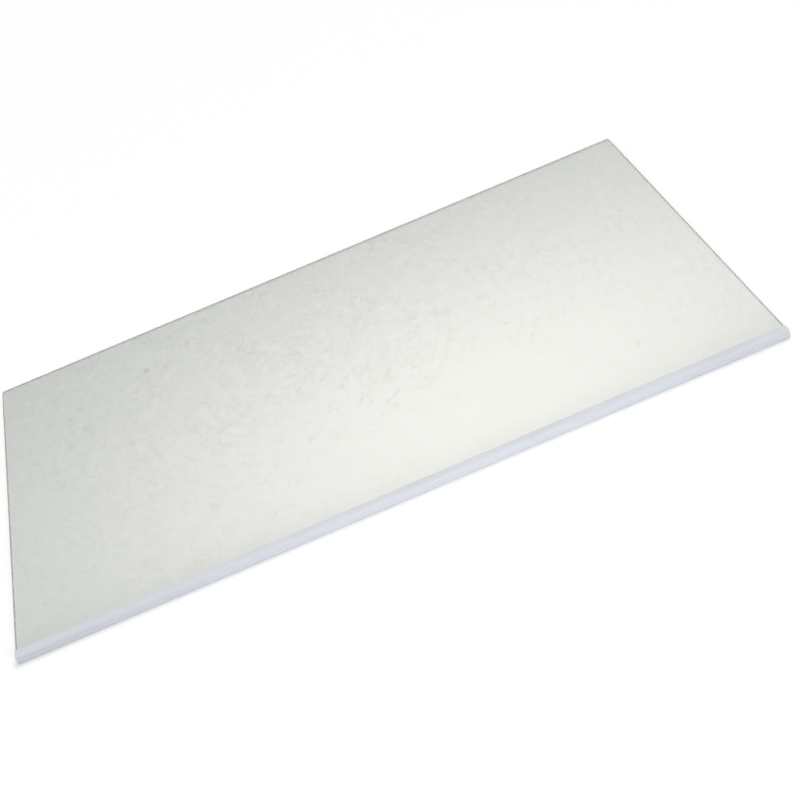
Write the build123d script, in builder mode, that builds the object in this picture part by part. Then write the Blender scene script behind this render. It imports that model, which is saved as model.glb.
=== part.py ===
"""Fridge glass shelf: a flat pane of clear glass with a plastic channel pushed on its front edge.

Millimetres. +X runs along the front edge, +Y towards the back of the fridge, +Z up.
The origin is on the surface that the shelf rests on, under the middle of its outline.
"""

import os

from build123d import *

# Whole shelf
shelf_width = 475.0  # left to right, pane and trim end flush
shelf_depth = 290.0  # front of the trim to the back edge of the pane

# Glass pane
glass_thickness = 4.0
glass_corner_radius = 2.0
arris_width = 0.6  # bevel ground round both faces

# Trim: a channel of a front web and two lips, cut square at both ends
lip_reach = 6.6  # front of the trim to the mouth of the channel
web_thickness = 1.2
upper_lip_thickness = 0.85  # at the front, where it is thickest
upper_lip_fall = 0.2  # how far the top slopes down towards the glass
lower_lip_thickness = 0.75
nose_radius = 1.5  # upper front edge
heel_radius = 1.2  # lower front edge
mouth_radius = 0.25  # outer edges round the mouth
mouth_lead_in = 0.15  # bevel that guides the glass into the mouth
end_radius = 0.15  # smoothed rim of the cut ends

# Grip ribs inside the channel, the same on both lips
rib_count = 2
rib_height = 0.12
rib_length = 1.0
rib_crest = 0.3  # flat land that bears on the glass

# Places worked out from the sizes above
front_y = -shelf_depth / 2
pane_front_y = front_y + web_thickness
pane_depth = shelf_depth - web_thickness
pane_bottom_z = lower_lip_thickness + rib_height
pane_middle_z = pane_bottom_z + glass_thickness / 2
half_pane = glass_thickness / 2
half_slot = half_pane + rib_height
trim_height = lower_lip_thickness + 2 * half_slot + upper_lip_thickness
rib_pitch = (lip_reach - mouth_lead_in - web_thickness) / rib_count

os.makedirs("parts", exist_ok=True)

# Glass pane: rounded corners, ground edges
with BuildPart() as glass_pane:
    with BuildSketch(Plane.XY.offset(pane_bottom_z)):
        with Locations((0, pane_front_y + pane_depth / 2)):
            RectangleRounded(shelf_width, pane_depth, glass_corner_radius)
    extrude(amount=glass_thickness)
    flat_faces = glass_pane.faces().filter_by(Axis.Z)
    chamfer(flat_faces.edges(), arris_width)

# Front trim: outer section run through its length, cut ends smoothed, then the ribbed slot
with BuildPart() as front_trim:
    # The section's own plane: across from the front, up from the middle of the glass
    section_plane = Plane(origin=(0, front_y, pane_middle_z), x_dir=(0, 1, 0), z_dir=(1, 0, 0))
    top_height = trim_height - pane_middle_z
    with BuildSketch(section_plane) as outer_section:
        Polygon(
            (0, -pane_middle_z),
            (lip_reach, -pane_middle_z),
            (lip_reach, top_height - upper_lip_fall),
            (0, top_height),
            align=None,
        )
        front_corners = outer_section.vertices().group_by(Axis.X)[0]
        fillet(front_corners.sort_by(Axis.Y)[-1], nose_radius)
        front_corners = outer_section.vertices().group_by(Axis.X)[0]
        fillet(front_corners.sort_by(Axis.Y)[0], heel_radius)
        mouth_corners = outer_section.vertices().group_by(Axis.X)[-1]
        fillet(mouth_corners, mouth_radius)
    extrude(amount=shelf_width / 2, both=True)
    cut_ends = front_trim.faces().filter_by(Axis.X)
    fillet(cut_ends.edges(), end_radius)

    # Slot for the pane: flared mouth, grip ribs left standing on both lips
    with BuildSketch(section_plane):
        with Locations((web_thickness, 0)):
            Rectangle(lip_reach, 2 * half_slot, align=(Align.MIN, Align.CENTER))
        for side in (1, -1):
            Polygon(
                (lip_reach - mouth_lead_in, side * half_slot),
                (lip_reach, side * half_slot),
                (lip_reach, side * (half_slot + mouth_lead_in)),
                align=None,
            )
            for rib in range(rib_count):
                steep_side = web_thickness + (rib + 0.5) * rib_pitch - rib_length / 2
                Polygon(
                    (steep_side, side * half_slot),
                    (steep_side, side * half_pane),
                    (steep_side + rib_crest, side * half_pane),
                    (steep_side + rib_length, side * half_slot),
                    align=None,
                    mode=Mode.SUBTRACT,
                )
    extrude(amount=shelf_width / 2, both=True, mode=Mode.SUBTRACT)

glass_pane.part.label = "glass_pane"
export_step(glass_pane.part, "parts/glass_pane.step")
front_trim.part.label = "front_trim"
export_step(front_trim.part, "parts/front_trim.step")
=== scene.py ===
"""Looks of the fridge glass shelf: clear wiped glass, a bluish-white trim, a pale studio.

Metres, in the part's own frame: +X along the front edge, +Y towards the back, +Z up.
"""

import math

import bpy
from mathutils import Matrix, Vector


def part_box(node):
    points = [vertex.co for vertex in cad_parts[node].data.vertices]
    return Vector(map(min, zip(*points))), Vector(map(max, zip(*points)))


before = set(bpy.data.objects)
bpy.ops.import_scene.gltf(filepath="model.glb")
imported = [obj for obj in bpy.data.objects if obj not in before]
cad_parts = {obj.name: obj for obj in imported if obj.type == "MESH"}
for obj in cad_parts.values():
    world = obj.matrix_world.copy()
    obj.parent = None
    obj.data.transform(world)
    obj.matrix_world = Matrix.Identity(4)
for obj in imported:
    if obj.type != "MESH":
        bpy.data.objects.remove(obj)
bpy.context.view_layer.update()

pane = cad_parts["glass_pane"]
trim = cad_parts["front_trim"]
pane_low, pane_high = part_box("glass_pane")
trim_low, trim_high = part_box("front_trim")

# Camera: where its axis meets the top of the pane, and how it looks at that point
CAMERA_AIM = Vector((0.0197, -0.0578, pane_high.z))
CAMERA_DISTANCE = 0.9191
CAMERA_ELEVATION = math.radians(35.153)
CAMERA_YAW = math.radians(1.798)
CAMERA_ROLL = math.radians(21.857)
CAMERA_LENS_MM = 67.5
CAMERA_SENSOR_MM = 36.0

# Studio: pale floor, even room light, a wide key lamp, a low fill lamp
FLOOR_SIZE = 12.0
FLOOR_COLOUR = (0.82, 0.82, 0.82, 1.0)
FLOOR_GLOW = 0.30  # brings the lit floor up to white and keeps its shadows
SKY_COLOUR = (1.0, 1.0, 1.0, 1.0)
SKY_LIGHT = 1.0  # where the background is looked at
ROOM_LIGHT = 0.44  # everywhere else
KEY_STRENGTH = 1.5
KEY_SPREAD = math.radians(50.0)
KEY_FROM = Vector((0.45, 0.45, 1.0))
FILL_PLACE = Vector((0.05, -0.53, 0.06))
FILL_SIZE = 0.25
FILL_POWER = 1.0

# Soft panel behind the shelf, upright; its sizes run along it and up it
PANEL_PLACE = Vector((0.26, 1.75, 1.41))
PANEL_SIZE = (4.4, 2.6)
PANEL_FADES = ((1.25, 2.15), (0.60, 1.25))  # how far from the middle its rim starts to fade and is gone
PANEL_SPREAD = (0.64, 0.33)
PANEL_STRENGTH = 2.90
PANEL_COLOUR = (1.0, 0.935, 0.85, 1.0)

# Glass body
GLASS_TINT = (0.855, 0.877, 0.859, 1.0)
GLASS_IOR = 1.52
GLASS_SHADE = (0.78, 0.79, 0.78, 1.0)  # what one face leaves of a lamp's light
FACE_ROUGHNESS = 0.015

# Noise: its middle height; each step below says where in a noise something starts and is full
NOISE_MIDDLE = 0.5

# Ground edges: the upright edge and the bevels along it
FLAT_FROM = 0.9  # a face's upward share above which it is polished
BEVEL_FROM = 0.3  # and above which it is a bevel
SIDEWAYS_FROM = 0.5  # a face's sideways share above which it belongs to a side edge
EDGE_TINT = (0.94, 0.96, 0.95, 1.0)
SIDE_BEVEL_TINT = (0.78, 0.80, 0.79, 1.0)
BACK_BEVEL_PAINTED_SHADE = (0.37, 0.38, 0.37, 1.0)  # painted shade: darker than the side bevels for the contact shadow under the back edge, which looks darker in the photograph
GROUND_SHADE = (0.72, 0.75, 0.73, 1.0)
GROUND_ROUGHNESS = 0.60
GRIND_SIZE = 0.0012
GRIND_STEP = (0.2, 0.8)
GRIND_LEAST = 0.88

# Marks of use on the top of the glass, thickest round one place, wiped mostly front to back
WORN_CENTRE = (-0.040, 0.110, 0.0)
WORN_REACH = (0.09, 0.30)  # full out to the first distance, least from the second on
WORN_LEAST = 0.45
WIPE_STRETCH = 1.5  # how much longer the marks are front to back
PATCH_SIZE = 0.040
PATCH_STEP = (0.35, 0.60)
PATCH_LEAST = 0.45
MOTTLE_SIZE = 0.0075
MOTTLE_LOSS = 0.32  # a loss is the share of light that a mark takes
HAIRLINE_SIZES = (0.018, 0.010)
HAIRLINE_WIDTH = 0.020  # share of the noise's height on either side of its middle
HAIRLINE_BREAK = 0.8  # size of the breaks as a share of the lines' own size
HAIRLINE_STEP = (0.45, 0.60)
HAIRLINE_LOSS = 0.13
ARC_CENTRE = (-0.037, 0.027, 0.0)
ARC_SPACING = 0.009
ARC_WAVER = {"Distortion": 5.0, "Detail": 3.0, "Detail Scale": 0.35}
ARC_CREST = (0.45, 1.0)  # the part of a wave's height that shows
ARC_BREAK = 0.02
ARC_STEP = (0.42, 0.66)
ARC_LOSS = 0.045
WAVE_PERIOD = math.pi / 10  # of a wave texture at scale 1
DUST_SPACING = 0.016
DUST_RADIUS = 0.0008
DUST_FADE = (0.5, 1.5)  # shares of the radius between which a speck fades
DUST_SHARE = 0.45
DUST_LOSS = 0.12
SPOT_PLACE = (-0.131, 0.0947, 0.0)
SPOT_RADIUS = 0.0032
SPOT_CORE = 0.4  # share of the radius that is full
SPOT_LOSS = 0.20
MARK_ROUGHNESS = 0.10

# Trim
TRIM_NOSE_HIGHLIGHT = (0.724, 0.758, 0.828, 1.0)  # painted highlight on the nose, where it is bluest: it stands in for the bluish light the nose mirrors
TRIM_FLAT = (0.718, 0.746, 0.798, 1.0)  # the trim's own colour, greyer, on the flats
TRIM_DULL = (0.698, 0.722, 0.768, 1.0)  # where it has been handled
TRIM_SCUFF = (0.62, 0.64, 0.67, 1.0)
NOSE_FACING = (0.0, -0.707, 0.707)
NOSE_HIGHLIGHT_SPAN = (0.75, 0.97)  # the painted highlight fades in from the first share of that facing and is full from the second
DRAW_LENGTH = 0.060  # lines that the die left, far longer than they are wide
DRAW_WIDTH = 0.0005
DRAW_DEPTH = 0.00004
DRAW_RELIEF = 0.5
DRAW_STEP = (0.25, 0.75)
DRAW_LEAST = 0.97
HANDLED_SIZE = 0.035
HANDLED_STEP = (0.4, 0.7)
SCUFF_LENGTH = 0.012
SCUFF_WIDTH = 0.0004
SCUFF_STEP = (0.64, 0.74)
SCUFF_SHARE = 0.6
TRIM_ROUGHNESS = (0.42, 0.56)
WEAR_RANGE = (0.2, 1.3)  # wear at which the trim is least and most rough
DRAW_WEAR = 0.5  # what the draw lines add to the handling


def add_node(tree, kind, inputs=None, **settings):
    """Adds one node. A socket given as an input is linked, any other value is set."""
    node = tree.nodes.new(kind)
    for name, value in settings.items():
        setattr(node, name, value)
    for name, value in (inputs or {}).items():
        if isinstance(value, bpy.types.NodeSocket):
            tree.links.new(value, node.inputs[name])
        else:
            node.inputs[name].default_value = value
    return node


def maths(tree, operation, first, second=0.0):
    """Output of one Math node."""
    node = add_node(tree, "ShaderNodeMath", {0: first, 1: second}, operation=operation)
    return node.outputs[0]


def vector_maths(tree, operation, first, second, output="Vector"):
    """Output of one Vector Math node."""
    node = add_node(tree, "ShaderNodeVectorMath", {0: first, 1: second}, operation=operation)
    return node.outputs[output]


def mix_colour(tree, factor, first, second, blend="MIX"):
    """Colour output of one Mix node; its colour sockets are found by number, as their names repeat."""
    sockets = {0: factor, 6: first, 7: second}
    node = add_node(tree, "ShaderNodeMix", sockets, data_type="RGBA", blend_type=blend)
    return node.outputs[2]


def mix_number(tree, factor, first, second):
    """Number output of one Mix node, whose sockets are found by number too."""
    return add_node(tree, "ShaderNodeMix", {0: factor, 2: first, 3: second}).outputs[0]


def ramp(tree, value, start, end, to_start=0.0, to_end=1.0):
    """Smooth step of a value from start to end."""
    inputs = {"Value": value, "From Min": start, "From Max": end, "To Min": to_start, "To Max": to_end}
    node = add_node(tree, "ShaderNodeMapRange", inputs, interpolation_type="SMOOTHSTEP")
    return node.outputs[0]


def noise(tree, place, size, detail=3.0, roughness=0.5):
    """Height of a noise with features of about this size."""
    inputs = {"Vector": place, "Scale": 1 / size, "Detail": detail, "Roughness": roughness}
    return add_node(tree, "ShaderNodeTexNoise", inputs).outputs[0]


def new_tree(owner):
    """Empty node tree of a material or a world, with its output node."""
    owner.use_nodes = True
    tree = owner.node_tree
    tree.nodes.clear()
    kind = "ShaderNodeOutputWorld" if isinstance(owner, bpy.types.World) else "ShaderNodeOutputMaterial"
    return tree, tree.nodes.new(kind)


def seen_as_background(tree):
    """1 for rays that look at the background: straight, in a gloss or through glass."""
    path = add_node(tree, "ShaderNodeLightPath")
    looks = maths(tree, "MAXIMUM", path.outputs["Is Camera Ray"], path.outputs["Is Glossy Ray"])
    return maths(tree, "MAXIMUM", looks, path.outputs["Is Transmission Ray"])


def plane(name, width, height):
    """Flat rectangle round the origin, facing +Z."""
    half_width = width / 2
    half_height = height / 2
    corners = [
        (-half_width, -half_height, 0),
        (half_width, -half_height, 0),
        (half_width, half_height, 0),
        (-half_width, half_height, 0),
    ]
    mesh = bpy.data.meshes.new(name)
    mesh.from_pydata(corners, [], [(0, 1, 2, 3)])
    sheet = bpy.data.objects.new(name, mesh)
    bpy.context.scene.collection.objects.link(sheet)
    return sheet


def make_camera():
    """Camera at the photograph's viewing angle."""
    forward = Vector(
        (
            math.sin(CAMERA_YAW) * math.cos(CAMERA_ELEVATION),
            math.cos(CAMERA_YAW) * math.cos(CAMERA_ELEVATION),
            -math.sin(CAMERA_ELEVATION),
        )
    )
    level = Vector((math.cos(CAMERA_YAW), -math.sin(CAMERA_YAW), 0))
    upright = level.cross(forward)
    right = math.cos(CAMERA_ROLL) * level - math.sin(CAMERA_ROLL) * upright
    up = math.sin(CAMERA_ROLL) * level + math.cos(CAMERA_ROLL) * upright
    data = bpy.data.cameras.new("camera")
    data.lens = CAMERA_LENS_MM
    data.sensor_width = CAMERA_SENSOR_MM
    camera = bpy.data.objects.new("camera", data)
    turn = Matrix((right, up, -forward)).transposed().to_4x4()
    camera.matrix_world = Matrix.Translation(CAMERA_AIM - CAMERA_DISTANCE * forward) @ turn
    bpy.context.scene.collection.objects.link(camera)
    bpy.context.scene.camera = camera


def make_floor():
    """Pale floor under the trim's inner edge and the pane's back edge, on which the shelf rests."""
    floor = plane("floor", FLOOR_SIZE, FLOOR_SIZE)
    slope = math.atan2(pane_low.z - trim_low.z, pane_high.y - trim_high.y)
    floor.location = (0, trim_high.y, trim_low.z)
    floor.rotation_euler = (slope, 0, 0)

    material = bpy.data.materials.new("pale_floor")
    tree, output = new_tree(material)
    matt = add_node(tree, "ShaderNodeBsdfDiffuse", {"Color": FLOOR_COLOUR})
    strength = maths(tree, "MULTIPLY", seen_as_background(tree), FLOOR_GLOW)
    glow = add_node(tree, "ShaderNodeEmission", {"Strength": strength})
    both = add_node(tree, "ShaderNodeAddShader", {0: matt.outputs[0], 1: glow.outputs[0]})
    tree.links.new(both.outputs[0], output.inputs["Surface"])
    floor.data.materials.append(material)


def make_panel():
    """Soft panel behind the shelf, brightest in its middle, that shows only where the shelf mirrors it."""
    panel = plane("soft_panel", *PANEL_SIZE)
    panel.location = PANEL_PLACE
    panel.rotation_euler = (math.radians(90), 0, 0)
    panel.visible_camera = False
    panel.visible_diffuse = False
    panel.visible_shadow = False

    material = bpy.data.materials.new("soft_panel")
    tree, output = new_tree(material)
    place = add_node(tree, "ShaderNodeTexCoord").outputs["Object"]
    spread = [1 / (math.sqrt(2) * width) for width in PANEL_SPREAD]
    scaled = vector_maths(tree, "MULTIPLY", place, (*spread, 0))
    square = vector_maths(tree, "DOT_PRODUCT", scaled, scaled, "Value")
    fall = maths(tree, "EXPONENT", maths(tree, "MULTIPLY", square, -1.0))
    strength = maths(tree, "MULTIPLY", fall, PANEL_STRENGTH)
    glow = add_node(tree, "ShaderNodeEmission", {"Color": PANEL_COLOUR, "Strength": strength})
    clear = add_node(tree, "ShaderNodeBsdfTransparent")
    shown = glow.outputs[0]
    parts = add_node(tree, "ShaderNodeSeparateXYZ", {0: place})
    for part, fade_range in zip(parts.outputs, PANEL_FADES):
        fade = ramp(tree, maths(tree, "ABSOLUTE", part), *fade_range)
        inputs = {0: fade, 1: shown, 2: clear.outputs[0]}
        shown = add_node(tree, "ShaderNodeMixShader", inputs).outputs[0]
    tree.links.new(shown, output.inputs["Surface"])
    panel.data.materials.append(material)


def make_lamp(name, kind, place, target, **settings):
    """Lamp that shines from its place to a target; it isn't seen or mirrored itself."""
    data = bpy.data.lights.new(name, kind)
    for setting, value in settings.items():
        setattr(data, setting, value)
    lamp = bpy.data.objects.new(name, data)
    lamp.location = place
    lamp.rotation_euler = (place - target).to_track_quat("Z", "Y").to_euler()
    lamp.visible_camera = False
    lamp.visible_glossy = False
    lamp.visible_transmission = False
    bpy.context.scene.collection.objects.link(lamp)


def make_light():
    """Even room light, white where the background is looked at, a wide soft key and a low fill."""
    world = bpy.data.worlds.new("studio")
    bpy.context.scene.world = world
    tree, output = new_tree(world)
    looks = seen_as_background(tree)
    strength = maths(tree, "ADD", maths(tree, "MULTIPLY", looks, SKY_LIGHT - ROOM_LIGHT), ROOM_LIGHT)
    sky = add_node(tree, "ShaderNodeBackground", {"Color": SKY_COLOUR, "Strength": strength})
    tree.links.new(sky.outputs[0], output.inputs["Surface"])
    make_lamp("key", "SUN", KEY_FROM, Vector(), energy=KEY_STRENGTH, angle=KEY_SPREAD)
    trim_front = Vector((FILL_PLACE.x, trim_low.y, trim_high.z / 2))
    make_lamp("fill", "AREA", FILL_PLACE, trim_front, energy=FILL_POWER, size=FILL_SIZE)


def distance_from(tree, place, centre):
    """Distance from a centre, measured along the pane."""
    flat = vector_maths(tree, "MULTIPLY", place, (1, 1, 0))
    return vector_maths(tree, "DISTANCE", flat, centre, "Value")


def hairlines(tree, place, size):
    """Short curved lines left by wiping: contours of a noise, broken up by another."""
    height = noise(tree, place, size, detail=1.0)
    from_middle = maths(tree, "ABSOLUTE", maths(tree, "SUBTRACT", height, NOISE_MIDDLE))
    line = ramp(tree, from_middle, 0.0, HAIRLINE_WIDTH, 1.0, 0.0)
    broken = ramp(tree, noise(tree, place, HAIRLINE_BREAK * size), *HAIRLINE_STEP)
    return maths(tree, "MULTIPLY", line, broken)


def wipe_arcs(tree, place):
    """Broken rings that a cloth left round one place."""
    centred = vector_maths(tree, "SUBTRACT", place, ARC_CENTRE)
    rings = add_node(
        tree,
        "ShaderNodeTexWave",
        {"Vector": centred, "Scale": WAVE_PERIOD / ARC_SPACING, **ARC_WAVER},
        wave_type="RINGS",
        rings_direction="Z",
    )
    broken = ramp(tree, noise(tree, place, ARC_BREAK), *ARC_STEP)
    return maths(tree, "MULTIPLY", ramp(tree, rings.outputs[1], *ARC_CREST), broken)


def dust(tree, place):
    """Scattered specks, in a share of the cells of a fine net."""
    cells = add_node(
        tree,
        "ShaderNodeTexVoronoi",
        {"Vector": place, "Scale": 1 / DUST_SPACING},
        voronoi_dimensions="2D",
    )
    fade = [share * DUST_RADIUS / DUST_SPACING for share in DUST_FADE]
    speck = ramp(tree, cells.outputs["Distance"], *fade, 1.0, 0.0)
    draw = add_node(tree, "ShaderNodeSeparateColor", {0: cells.outputs["Color"]}).outputs[0]
    return maths(tree, "MULTIPLY", speck, maths(tree, "LESS_THAN", draw, DUST_SHARE))


def marks_of_use(tree, place):
    """Share of the light that mottle, hairlines, wipe arcs, dust and one dried drop take away."""
    worn = ramp(tree, distance_from(tree, place, WORN_CENTRE), *WORN_REACH, 1.0, WORN_LEAST)
    wiped = vector_maths(tree, "MULTIPLY", place, (1, 1 / WIPE_STRETCH, 1))
    patches = ramp(tree, noise(tree, wiped, PATCH_SIZE), *PATCH_STEP, PATCH_LEAST, 1.0)
    film = noise(tree, wiped, MOTTLE_SIZE, detail=4.0, roughness=0.65)
    loss = maths(tree, "MULTIPLY", maths(tree, "SUBTRACT", film, NOISE_MIDDLE), MOTTLE_LOSS)
    lines = [(hairlines(tree, wiped, size), HAIRLINE_LOSS) for size in HAIRLINE_SIZES]
    for mark, most in [*lines, (wipe_arcs(tree, place), ARC_LOSS)]:
        loss = maths(tree, "ADD", loss, maths(tree, "MULTIPLY", mark, most))
    loss = maths(tree, "MULTIPLY", loss, maths(tree, "MULTIPLY", worn, patches))
    from_spot = distance_from(tree, place, SPOT_PLACE)
    drop = ramp(tree, from_spot, SPOT_CORE * SPOT_RADIUS, SPOT_RADIUS, 1.0, 0.0)
    for mark, most in [(dust(tree, place), DUST_LOSS), (drop, SPOT_LOSS)]:
        loss = maths(tree, "ADD", loss, maths(tree, "MULTIPLY", mark, most))
    return loss


def glass_material():
    """Clear glass with polished faces, ground edges and wipe marks; lamps shine through it."""
    material = bpy.data.materials.new("clear_glass")
    tree, output = new_tree(material)
    coordinates = add_node(tree, "ShaderNodeTexCoord")
    place = coordinates.outputs["Object"]
    facing = add_node(tree, "ShaderNodeSeparateXYZ", {0: coordinates.outputs["Normal"]})
    upward = facing.outputs["Z"]
    flatness = maths(tree, "ABSOLUTE", upward)
    sideways = maths(tree, "GREATER_THAN", maths(tree, "ABSOLUTE", facing.outputs["X"]), SIDEWAYS_FROM)
    ground = maths(tree, "LESS_THAN", flatness, FLAT_FROM)
    bevel = maths(tree, "GREATER_THAN", flatness, BEVEL_FROM)
    top = maths(tree, "GREATER_THAN", upward, FLAT_FROM)

    # Colour: body tint, less what the marks take, and the ground edge, with painted shade on the back
    # bevel
    loss = maths(tree, "MULTIPLY", marks_of_use(tree, place), top)
    kept = maths(tree, "SUBTRACT", 1.0, loss)
    face_tint = mix_colour(tree, 1.0, GLASS_TINT, kept, "MULTIPLY")
    grit = ramp(tree, noise(tree, place, GRIND_SIZE), *GRIND_STEP, GRIND_LEAST, 1.0)
    # Painted shade: the back bevels take a dark tint for the contact shadow under the back edge; the side
    # bevels keep the ground-glass tint
    bevel_tint = mix_colour(tree, sideways, BACK_BEVEL_PAINTED_SHADE, SIDE_BEVEL_TINT)
    edge_tint = mix_colour(tree, 1.0, mix_colour(tree, bevel, EDGE_TINT, bevel_tint), grit, "MULTIPLY")
    tint = mix_colour(tree, ground, face_tint, edge_tint)

    # Roughness: polished, duller under the marks, matt where it is ground
    face_rough = maths(tree, "ADD", maths(tree, "MULTIPLY", loss, MARK_ROUGHNESS), FACE_ROUGHNESS)
    rough = mix_number(tree, ground, face_rough, GROUND_ROUGHNESS)
    glass = add_node(
        tree,
        "ShaderNodeBsdfPrincipled",
        {"Base Color": tint, "Roughness": rough, "IOR": GLASS_IOR, "Transmission Weight": 1.0},
    )

    # Lamps and light thrown back by the floor go straight through
    shade = mix_colour(tree, ground, GLASS_SHADE, GROUND_SHADE)
    clear = add_node(tree, "ShaderNodeBsdfTransparent", {"Color": shade})
    path = add_node(tree, "ShaderNodeLightPath")
    shown = glass.outputs[0]
    for ray in ("Is Diffuse Ray", "Is Shadow Ray"):
        inputs = {0: path.outputs[ray], 1: shown, 2: clear.outputs[0]}
        shown = add_node(tree, "ShaderNodeMixShader", inputs).outputs[0]
    tree.links.new(shown, output.inputs["Surface"])
    return material


def streaks(tree, place, length, width, detail):
    """Height of a noise that is drawn out along the trim."""
    stretched = vector_maths(tree, "MULTIPLY", place, (1 / length, 1 / width, 1 / width))
    return noise(tree, stretched, 1.0, detail)


def trim_material():
    """Bluish-white extruded plastic: half gloss, a painted bluish highlight on the nose, fine draw lines,
    handled patches, short scuffs.
    """
    material = bpy.data.materials.new("white_trim")
    tree, output = new_tree(material)
    coordinates = add_node(tree, "ShaderNodeTexCoord")
    place = coordinates.outputs["Object"]
    drawn = streaks(tree, place, DRAW_LENGTH, DRAW_WIDTH, detail=3.0)
    handled = ramp(tree, noise(tree, place, HANDLED_SIZE, detail=4.0, roughness=0.6), *HANDLED_STEP)
    scratched = streaks(tree, place, SCUFF_LENGTH, SCUFF_WIDTH, detail=2.0)
    scuff = maths(tree, "MULTIPLY", ramp(tree, scratched, *SCUFF_STEP), handled)

    # Colour: the greyer own colour on the flats, a painted bluish highlight on the nose, then scuffs and
    # draw lines
    nose_share = vector_maths(tree, "DOT_PRODUCT", coordinates.outputs["Normal"], NOSE_FACING, "Value")
    nose_highlight = ramp(tree, nose_share, *NOSE_HIGHLIGHT_SPAN)
    colour = mix_colour(tree, nose_highlight, mix_colour(tree, handled, TRIM_FLAT, TRIM_DULL), TRIM_NOSE_HIGHLIGHT)
    colour = mix_colour(tree, maths(tree, "MULTIPLY", scuff, SCUFF_SHARE), colour, TRIM_SCUFF)
    lines = ramp(tree, drawn, *DRAW_STEP, DRAW_LEAST, 1.0)
    colour = mix_colour(tree, 1.0, colour, lines, "MULTIPLY")

    # Roughness and relief
    wear = maths(tree, "ADD", maths(tree, "MULTIPLY", drawn, DRAW_WEAR), handled)
    rough = ramp(tree, wear, *WEAR_RANGE, *TRIM_ROUGHNESS)
    height = maths(tree, "SUBTRACT", drawn, scuff)
    relief = add_node(
        tree,
        "ShaderNodeBump",
        {"Strength": DRAW_RELIEF, "Distance": DRAW_DEPTH, "Height": height},
    )
    plastic = add_node(
        tree,
        "ShaderNodeBsdfPrincipled",
        {"Base Color": colour, "Roughness": rough, "Normal": relief.outputs[0]},
    )
    tree.links.new(plastic.outputs[0], output.inputs["Surface"])
    return material


make_camera()
make_floor()
make_panel()
make_light()
pane.material_slots[0].material = glass_material()
trim.material_slots[0].material = trim_material()
bpy.context.scene.view_settings.view_transform = "Standard"
